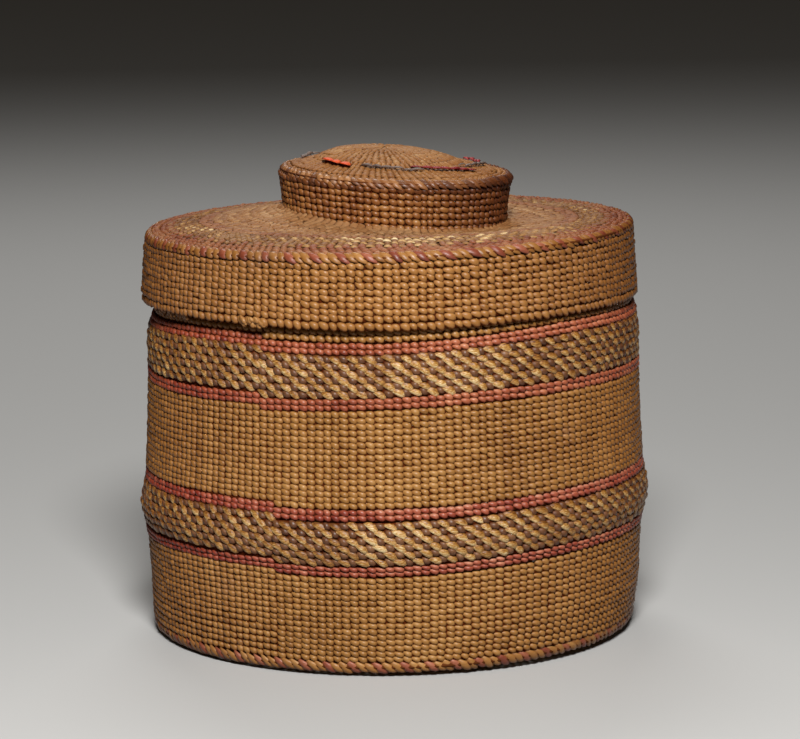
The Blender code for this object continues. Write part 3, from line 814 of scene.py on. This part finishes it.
def ridgePiece(name, node, body, warps, finish, seed, settle, tilt, dyed=None, pitchShare=1.0,
               reachShare=1.0, drop=0.0, upright=(0, 0)):
    # a three-strand course, with the strand of three that is dyed and the degrees where stitches stand upright
    reach, low, high = sectionOf(node)
    thick = high - low
    centre, middle, reachOut = reach - thick / 2, (low + high) / 2, thick / 2 * reachShare
    number = np.arange(len(warps[0]))
    dye = np.zeros(len(number)) if dyed is None else (number % 3 == dyed).astype(float)
    turned = np.degrees(warps[0]) % 360
    standing = (turned > upright[0]) & (turned < upright[1])
    runs = []
    for shape, chosen in (("rope", ~standing), ("upright", standing)):
        if chosen.any():
            course = settle(courseAt(centre + reachOut * cos(tilt), middle - drop + reachOut * sin(tilt), tilt,
                                     thick * pitchShare))
            course["rise"] = 0.0
            part = warps[0][chosen], warps[1][chosen]
            runs.append(everyColumn(course, shape, part, dye=dye[chosen]))
    piece = weave(name, runs, (finish, "ridgeBack"), None, seed)
    addCore(piece, centre, middle - drop, thick * (0.5 * reachShare - coreInset), settle)
    finishPiece(piece, body, node)


ridgePiece("baseTwinedEdge", "base_edge_ridge", "basket", basketWarps, "ridge", 41, basketSettle,
           tilt=radians(-14), dyed=1, pitchShare=0.85, drop=-0.0003)
ridgePiece("rimFoldedEdge", "rim_edge", "basket", basketWarps, "ridge", 42, basketSettle,
           tilt=radians(50))


discUneven = 0.05


def fewer(limits):
    # fewer columns towards the middle of a disc: the radius below which, and how many
    return lambda radius: next(count for limit, count in limits if radius < limit)


def discRuns(courses, seed, shape, wall, columnsAt, **more):
    runs = []
    for course in courses:
        count = columnsAt(course["radius"])
        warps = warpTable(count, discUneven, seed + count)
        runs.append(everyColumn(course, shape, warps, **more))
        if wall:
            runs.append(insideRun(course, warps, wall))
    return runs


def discBacking(courses, thick):
    first, last = courses[0], courses[-1]
    line = [(first["radius"] + first["pitch"] / 2 * sin(first["tilt"]),
             first["height"] - first["pitch"] / 2 * cos(first["tilt"]), first["tilt"])]
    line += [(c["radius"], c["height"], c["tilt"]) for c in courses]
    line.append((last["radius"] - last["pitch"] / 2 * sin(last["tilt"]),
                 last["height"] + last["pitch"] / 2 * cos(last["tilt"]), last["tilt"]))
    return line, thick


# the base: courses wind out from the middle of the underside, and the wall follows on
baseHand = {"flat": 0.0608, "pitch": 0.00205, "hole": 0.0008, "lift": 0.0015, "slope": 0.124, "climb": 0.01,
            "lastPitch": 0.0012, "back": (0.75, 1.4)}
baseColumns = fewer(((0.0012, 6), (0.0032, 8), (0.006, 16), (0.012, 32), (0.022, 64), (0.040, 108),
                     (0.054, 138), (1.0, 184)))
baseReach, baseLow, _ = sectionOf("base_disc")
courses = []
for k in range(int((baseReach - baseHand["hole"]) / baseHand["pitch"])):
    r = baseReach - (k + 0.5) * baseHand["pitch"]
    lift = max(0.0, (r - baseHand["flat"]) / (baseReach - baseHand["flat"])) * baseHand["lift"]
    slope = baseHand["slope"] if r > baseHand["flat"] else 0.0
    drawn = basketFoot[1][0] * (r / baseReach) ** 2
    courses.append(courseAt(r - drawn, baseLow + lift, -pi / 2 + slope, baseHand["pitch"], shift=-drawn,
                            rise=min(1.0, (baseReach - r) / baseHand["climb"])))
courses.append(courseAt(baseHand["hole"], baseLow, -pi / 2, baseHand["lastPitch"], rise=0.0))
piece = weave("wovenBase", discRuns(courses, 51, "sole", basketHand["wall"], baseColumns),
              ("root", "back", "inner"), discBacking(courses, baseHand["back"]), 51)
finishPiece(piece, "basket", "base_disc")
print("base woven")


# the lid

lidHand = {"columns": 184, "unevenness": 0.08, "seed": 23, "start": 0.01, "wall": 2.0, "shift": -0.0009,
           "dent": 0.00012, "hand": 1.4, "topHand": 1.6, "topTone": 0.1, "bandDepth": 0.1, "stripeTurn": 0.34,
           "sideBack": (0.95, 1.35), "topBack": (0.62, 1.3), "bandBack": (0.9, 1.4)}
lidWarps = warpTable(lidHand["columns"], lidHand["unevenness"], lidHand["seed"], lidHand["start"])
lidSway = {0.101: (0.004, 0.6, 0, 0, -0.45, 0), 0.112: (0.010, 0.25, 0, 0, -0.2, 0),
           0.1222: (0.019, -0.2, 0, 0, 0, -0.003)}
topSway = {0.0349: (-0.084, 1.1, 0.4, 0, 0, 0), 0.040: (-0.052, 0.7, 0.1, 0, 0, -0.004),
           0.047: (-0.020, 0.5, -0.1, 0, 0, -0.010), 0.055: (-0.002, 0.72, -0.25, 0, 0, -0.0155),
           0.061: (0.006, 0.6, -0.3, 0, 0, -0.019), 0.065: (0.011, 0.4, -0.2, 0, 0, -0.014),
           0.0692: (0.015, 0.0, -0.1, 0, 0, -0.007), 0.0745: (0.018, -0.2, 0, 0, 0, -0.003)}
knobSway = {0.1251: (-0.066, 0.2, 0, 0, 0, 0), 0.1365: (-0.060, 0.2, 0, 0, 0, 0),
            0.1397: (-0.046, 0, 0, 0, 0, 0)}
knobShift = (0.036, 0.046), (0.0018, 0.0)
lidDrawn = {"by": 0.0005, "radius": ((0.037, 0.070), (0, 1)), "height": ((0.104, 0.121), (0, 1))}
knobDrawn = (0.1251, 0.1375, 0.1390), (0.0006, 0.0, 0.0007)
knobInside, knobOutside, knobFoot, shoulder = 0.031, 0.0375, 0.1258, (0.0725, 0.1229)
ridgeShift = (0.0345, 0.0354), (0.0, 0.0007)
domeShift = (0.013, 0.033), (-0.0030, 0.0)
domeFrom, domeBackFrom = 0.139, 0.1385
lidColumns = fewer(((0.0440, 92), (0.0560, 138), (1.0, 184)))


def drawnAt(radius, height):
    # how far the lid and its knob are narrower than the CAD: the lid towards its top, the knob towards its foot
    lid = lidDrawn["by"] * np.interp(radius, *lidDrawn["radius"]) * np.interp(height, *lidDrawn["height"])
    knob = np.interp(height, *knobDrawn) * (radius < knobOutside) * (radius > knobInside) * (height > knobFoot)
    return lid + knob


def lidSettle(course):
    # the lid sits a little to the left, its knob to the right of that, and the knob's button left of its middle
    radius, height = course["radius"], course["height"]
    course["radius"] -= drawnAt(radius, height)
    if radius > shoulder[0] and height < shoulder[1]:
        course["sway"] = between(lidSway, height)
    elif height < knobFoot:
        course["table"] = topSway
    else:
        course["sway"] = between(knobSway, height)
    course["shift"] = lidHand["shift"] + float(np.interp(radius, *knobShift))
    if height > domeFrom:
        course["shift"] += float(np.interp(radius, *domeShift)) + float(np.interp(radius, *ridgeShift))
    course["dent"] = lidHand["dent"]
    course["rise"] = 0.0
    return course


def lidBack(co):
    co = co.copy()
    radius, level = np.hypot(co[:, 0], co[:, 1]), co[:, 2].copy()
    onSide, onTop = (level < shoulder[1]) & (radius > shoulder[0]), level < knobFoot
    side, top, knob = between(lidSway, level), between(topSway, radius), between(knobSway, level)
    sway = [np.where(onSide, s, np.where(onTop, t, k)) for s, t, k in zip(side, top, knob)]
    move = lidHand["shift"] + np.interp(radius, *knobShift)
    move += np.where(level > domeBackFrom, np.interp(radius, *domeShift), 0)
    co[:, :2] *= (1 - drawnAt(radius, level) / np.maximum(radius, mm))[:, None]
    co[:, 0] += move
    co[:, 2] += swayAt(sway, co[:, 0], co[:, 1])
    return co


# a course that a node needs beside its first or last one: how much wider and higher, and what else differs
extraCourses = {
    "lid_top_plain": (-1, -0.0013, 0.0004, {"tilt": radians(66), "pitch": 0.0018}),
    "lid_top_stripe_outer": (0, 0.0016, -0.0004, {"tilt": radians(66)}),
    "knob_ring": (0, 0.0015, -0.0003, {}),
}


def discCourses(node, count):
    courses = topCourses(node, count)
    if node in extraCourses:
        at, wider, higher, more = extraCourses[node]
        beside = courses[at]
        extra = {**beside, "radius": beside["radius"] + wider, "height": beside["height"] + higher, **more}
        courses = courses + [extra] if at else [extra] + courses
    return [lidSettle(c) for c in courses]


# loose fibres along the lid's edge: from and to in degrees, how many, how far in and how far down
frays = [(235.5, 240.5, 10, -0.0003, 0.0), (236, 241, 8, 0.0, 0.0005), (202, 216, 12, 0.0012, 0.0014)]
fray = {"width": radians(1.1), "hand": 3.5, "tone": 0.25}
edgeTilt = 0.03
reach, low, high = sectionOf("lid_edge")
edgeCourses = [courseAt(reach, (low + high) / 2, edgeTilt, high - low)]
for name, node, courses, seed in (("wovenLidSide", "lid_side", wallCourses("lid_side", 9), 61),
                                  ("wovenLidEdge", "lid_edge", edgeCourses, 62)):
    courses = [lidSettle(c) for c in courses]
    runs = bothSides(courses, lidWarps, lidHand["wall"], "plain", hand=lidHand["hand"])
    if node == "lid_edge":
        for start, end, count, drawn, drop in frays:
            edge = courses[0]
            under = {**edge, "radius": edge["radius"] - drawn, "height": edge["height"] - drop}
            spots = np.radians(np.linspace(start, end, count)), np.full(count, fray["width"])
            runs.append(everyColumn(under, "dab", spots, hand=fray["hand"], tone=fray["tone"]))
    piece = weave(name, runs, ("lid", "back", "inner"), wallBacking(courses, lidHand["sideBack"]), seed,
                  lidBack)
    finishPiece(piece, "lid", node)

ridgePiece("lidShoulderTwist", "lid_shoulder_ridge", "lid", lidWarps, "ridge", 63, lidSettle,
           tilt=radians(34), dyed=0, pitchShare=0.85, reachShare=0.85, drop=0.0003, upright=(200, 247))


def outerStripe(courses):
    # each course in from the edge starts a little further round, and light strands come in on the innermost
    runs = []
    for k, course in enumerate(courses):
        turned = lidWarps[0] - lidHand["stripeTurn"] * k * lidWarps[1], lidWarps[1]
        runs.append(insideRun(course, lidWarps, lidHand["wall"]))
        if k < len(courses) - 1:
            runs.append(everyColumn(course, "bead", turned, hand=lidHand["hand"]))
        else:
            runs += [everyOther(course, "fleck", turned, 0, finish=3), everyOther(course, "rib", turned, 1)]
    return runs


def topBand(courses):
    runs = []
    for k, course in enumerate(courses):
        runs.append(everyOther(course, "fleck", lidWarps, k % 2, hand=lidHand["topHand"],
                               depth=crestOf["fleck"] - lidHand["bandDepth"]))
        runs.append(everyOther(course, "rib", lidWarps, (k + 1) % 2, finish=3,
                               depth=crestOf["rib"] + lidHand["bandDepth"]))
        runs.append(insideRun(course, lidWarps, lidHand["wall"]))
    return runs


def topZone(courses, seed):
    runs = []
    for k, course in enumerate(courses):
        runs += discRuns([course], seed, "rib", lidHand["wall"], lidColumns, hand=lidHand["topHand"],
                         tone=lidHand["topTone"] * (-1) ** k)
    return runs


for name, node, count, keys, slot, seed in (
    ("wovenLidOuterStripe", "lid_top_stripe_outer", 3, ("rose", "topBack", "inner", "dusty"), "rose_root", 64),
    ("wovenLidInnerStripe", "lid_top_stripe_inner", 2, ("faded", "topBack", "inner", "dusty"), "rose_root", 66),
    ("wovenLidTop", "lid_top_plain", 9, ("top", "topBack", "inner", "dusty"), "spruce_root", 67),
    ("wovenLidBand", "lid_top_band", 4, ("dusty", "topBack", "inner", "worn"), "grass_overlay", 65),
):
    courses = discCourses(node, count)
    thick = lidHand["topBack"]
    if node == "lid_top_stripe_outer":
        runs = outerStripe(courses)
    elif node == "lid_top_band":
        runs, thick = topBand(courses), lidHand["bandBack"]
    else:
        runs = topZone(courses, seed)
    piece = weave(name, runs, keys, discBacking(courses, thick), seed, lidBack)
    finishPiece(piece, "lid", node)
print("lid woven")


# the knob

knobHand = {"columns": 92, "unevenness": 0.10, "seed": 29, "wall": 1.9, "hand": 1.3, "tone": 0.2,
            "darker": 0.055, "sideBack": (0.95, 1.35), "topBack": (0.62, 1.5), "beads": 3}
knobWarps = warpTable(knobHand["columns"], knobHand["unevenness"], knobHand["seed"])
knobColumns = fewer(((0.0028, 7), (0.0055, 14), (0.011, 28), (0.0205, 56), (1.0, 92)))

courses = [lidSettle(c) for c in wallCourses("knob_side", 8)][1:]
runs = []
for k, course in enumerate(courses):
    runs += bothSides([course], knobWarps, knobHand["wall"], "bead", hand=knobHand["hand"],
                      tone=knobHand["tone"] - knobHand["darker"] * k)
piece = weave("wovenKnobSide", runs, ("knob", "back", "inner"), wallBacking(courses, knobHand["sideBack"]), 71,
              lidBack)
finishPiece(piece, "lid", "knob_side")
ridgePiece("knobTwist", "knob_ridge", "lid", knobWarps, "rim", 72, lidSettle, tilt=radians(42),
           dyed=0, pitchShare=0.85, reachShare=0.65, drop=0.0004, upright=(150, 248))

for name, node, count, seed in (("wovenKnobRing", "knob_ring", 7, 73), ("wovenKnobDome", "knob_dome", 11, 74)):
    courses = discCourses(node, count)
    beads = knobHand["beads"] if node == "knob_ring" else 0
    runs = discRuns(courses[:beads], seed, "bead", None, knobColumns)
    runs += discRuns(courses[beads:], seed, "rib", None, knobColumns)
    piece = weave(name, runs, ("crown", "topBack", "inner"), discBacking(courses, knobHand["topBack"]), seed,
                  lidBack)
    finishPiece(piece, "lid", node)

rattleHand = {"courses": 17, "parts": 17.5, "column": 0.0026, "fewest": 6, "back": (0.5, 1.4)}
reach, low, _ = sectionOf("rattle_floor")
pitch = reach / rattleHand["parts"]
courses = []
for k in range(rattleHand["courses"]):
    r = reach - (k + 0.5) * reach / rattleHand["parts"]
    courses.append(lidSettle(courseAt(r, low, -pi / 2, pitch)))
runs = discRuns(courses, 75, "inner", None,
                lambda radius: max(rattleHand["fewest"], int(turnRound * radius / rattleHand["column"])))
piece = weave("wovenRattleFloor", runs, ("inner", "back"), discBacking(courses, rattleHand["back"]), 75,
              lidBack)
finishPiece(piece, "lid", "rattle_floor")
print("knob woven")


# coloured strokes on the knob's top

strokeLooks = {
    "orange": [(0.1, 176, 44, 14), (0.5, 226, 84, 32), (0.9, 244, 124, 62)],
    "slate": [(0.1, 78, 64, 58), (0.5, 116, 98, 88), (0.9, 152, 132, 114)],
    "crimson": [(0.1, 92, 14, 14), (0.5, 144, 30, 30), (0.9, 178, 58, 50)],
}
# from and to in degrees, colour, length and height of a dab in mm, and how far the first ones stand up in mm
strokes = [(212, 241, "orange", 5.4, 4.6, 0.3), (250, 292, "slate", 3.0, 1.9, 0),
           (287, 330, "crimson", 2.6, 3.0, 0), (330, 368, "slate", 3.0, 1.8, 0),
           (13, 36, "crimson", 2.6, 2.2, 0), (146, 172, "slate", 2.8, 2.2, 0)]
strokeHand = {"lift": 0.0004, "standing": 2.2, "depth": 0.1, "hand": 2.0, "margin": 20, "fewest": 3, "seed": 80}
for label, stops in strokeLooks.items():
    look = {**plainLook, "colours": stops, "wornAmount": 0.0, "roughness": 0.5}
    finishes[label] = strandFinish("strand_" + label, look)
for i, (start, end, colour, length, tall, bunch) in enumerate(strokes, start=1):
    node = f"knob_stroke_{i}"
    corners = [v.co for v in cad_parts[node].data.vertices]
    bearings = np.array([np.degrees(np.arctan2(co.y, co.x)) % 360 for co in corners])
    bearings += 360 * (bearings < start - strokeHand["margin"])
    radii = np.array([hypot(co.x, co.y) for co in corners])
    levels = np.array([levelOf(node, co) for co in corners])
    slant = np.polyfit(bearings, radii, 1)
    climb = np.polyfit(bearings, levels, 1)
    count = max(strokeHand["fewest"], round(radians(end - start) * radii.mean() / (length * mm)))
    runs = []
    for k in range(count):
        bearing = start + (k + 0.5) * (end - start) / count
        radius, level = np.polyval(slant, bearing), np.polyval(climb, bearing)
        level += strokeHand["lift"] + mm * bunch * max(0.0, 1 - strokeHand["standing"] * k / count)
        course = lidSettle(courseAt(radius, level, pi / 2, tall * mm, rise=0.0))
        spot = np.array([radians(bearing)]), np.array([radians(end - start) / count])
        runs.append(everyColumn(course, "dab", spot, hand=strokeHand["hand"],
                                depth=crestOf["dab"] + strokeHand["depth"]))
    piece = weave(f"dyedStroke{i}", runs, [colour], None, strokeHand["seed"] + i)
    finishPiece(piece, "lid", node)
print("strokes laid")


# pebbles inside the knob

stoneLook = {"cloud": 220.0, "speck": 2400.0, "roughness": 0.5, "bump": 0.4, "bumpDepth": 0.0001,
             "colours": [(0.3, 84, 80, 74), (0.5, 122, 116, 106), (0.7, 158, 152, 140)]}


def stoneFinish(look):
    material = bpy.data.materials.new("riverPebble")
    f = Nodes(material)
    place = f.node("ShaderNodeTexCoord").outputs["Object"]
    cloud, speck = f.noise(place, look["cloud"], 4.0, 0.6), f.noise(place, look["speck"], 2.0, 0.5)
    bump = f.node("ShaderNodeBump", None, {"Strength": look["bump"], "Distance": look["bumpDepth"],
                                           "Height": cloud + speck * 0.3})
    f.surface(Base_Color=f.ramp(cloud * 0.7 + speck * 0.3, look["colours"]),
              Roughness=look["roughness"] + cloud * 0.2, Normal=bump.outputs["Normal"])
    return material


stone = stoneFinish(stoneLook)
for i in range(1, 6):
    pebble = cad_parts[f"pebble_{i}"]
    pebble.data.materials.clear()
    pebble.data.materials.append(stone)


# studio

floorLook = {"seen": (200, 199, 196), "cast": (104, 98, 88), "roughness": 0.8, "reach": 8.0, "drop": 0.0002}
sky = {"seen": (0.034, 0.032, 0.029, 1), "cast": (1.0, 0.88, 0.74, 1), "castStrength": 0.03}


def floorFinish(look):
    # pale to the camera, darker in the light that it throws back
    material = bpy.data.materials.new("paleFloor")
    f = Nodes(material)
    f.surface(Base_Color=f.blend(f.seen(), paint(*look["cast"]), paint(*look["seen"])),
              Roughness=look["roughness"], Specular_IOR_Level=0.0)
    return material


bm = bmesh.new()
bmesh.ops.create_grid(bm, x_segments=1, y_segments=1, size=floorLook["reach"])
bmesh.ops.translate(bm, verts=bm.verts, vec=(0, 0, -floorLook["drop"]))
mesh = bpy.data.meshes.new("studioFloor")
bm.to_mesh(mesh)
bm.free()
mesh.materials.append(floorFinish(floorLook))
floor = bpy.data.objects.new("studioFloor", mesh)
bpy.context.scene.collection.objects.link(floor)

world = bpy.data.worlds.new("studioWorld")
bpy.context.scene.world = world
w = Nodes(world)
cast = w.tree.nodes["Background"]
w.plug(cast.inputs["Color"], sky["cast"])
w.plug(cast.inputs["Strength"], sky["castStrength"])
seen = w.node("ShaderNodeBackground", None, {"Color": sky["seen"]})
pick = w.node("ShaderNodeMixShader", None, {"Fac": w.seen(), "Shader": cast.outputs[0],
                                            "Shader_001": seen.outputs[0]})
w.plug(w.tree.nodes["World Output"].inputs["Surface"], pick.outputs[0])


def addLamp(name, place, target, size, power):
    lamp = bpy.data.lights.new(name, "AREA")
    lamp.shape, lamp.size, lamp.energy = "DISK", size, power
    holder = bpy.data.objects.new(name, lamp)
    holder.location = place
    holder.rotation_euler = (Vector(target) - Vector(place)).to_track_quat("-Z", "Y").to_euler()
    bpy.context.scene.collection.objects.link(holder)


addLamp("keyLamp", (0.03, -0.68, 0.60), (0, 0, 0.07), 0.22, 8.5)
addLamp("backLamp", (-0.1, 0.9, 1.1), (0, 0, 0.1), 0.6, 5.5)

view = {"target": (0.002, 0.0, 0.078), "distance": 1.0745, "elevation": radians(9.6), "roll": 0.01,
        "lens": 157.5, "sensor": 36, "near": 0.01, "far": 20}
camera = bpy.data.cameras.new("photoCamera")
camera.lens, camera.sensor_width = view["lens"], view["sensor"]
camera.clip_start, camera.clip_end = view["near"], view["far"]
holder = bpy.data.objects.new("photoCamera", camera)
offset = Vector((0, -cos(view["elevation"]), sin(view["elevation"]))) * view["distance"]
holder.location = Vector(view["target"]) + offset
aim = (-offset).to_track_quat("-Z", "Y").to_matrix() @ Matrix.Rotation(-view["roll"], 3, "Z")
holder.rotation_euler = aim.to_euler()
bpy.context.scene.collection.objects.link(holder)
bpy.context.scene.camera = holder
bpy.context.scene.view_settings.view_transform = "Standard"
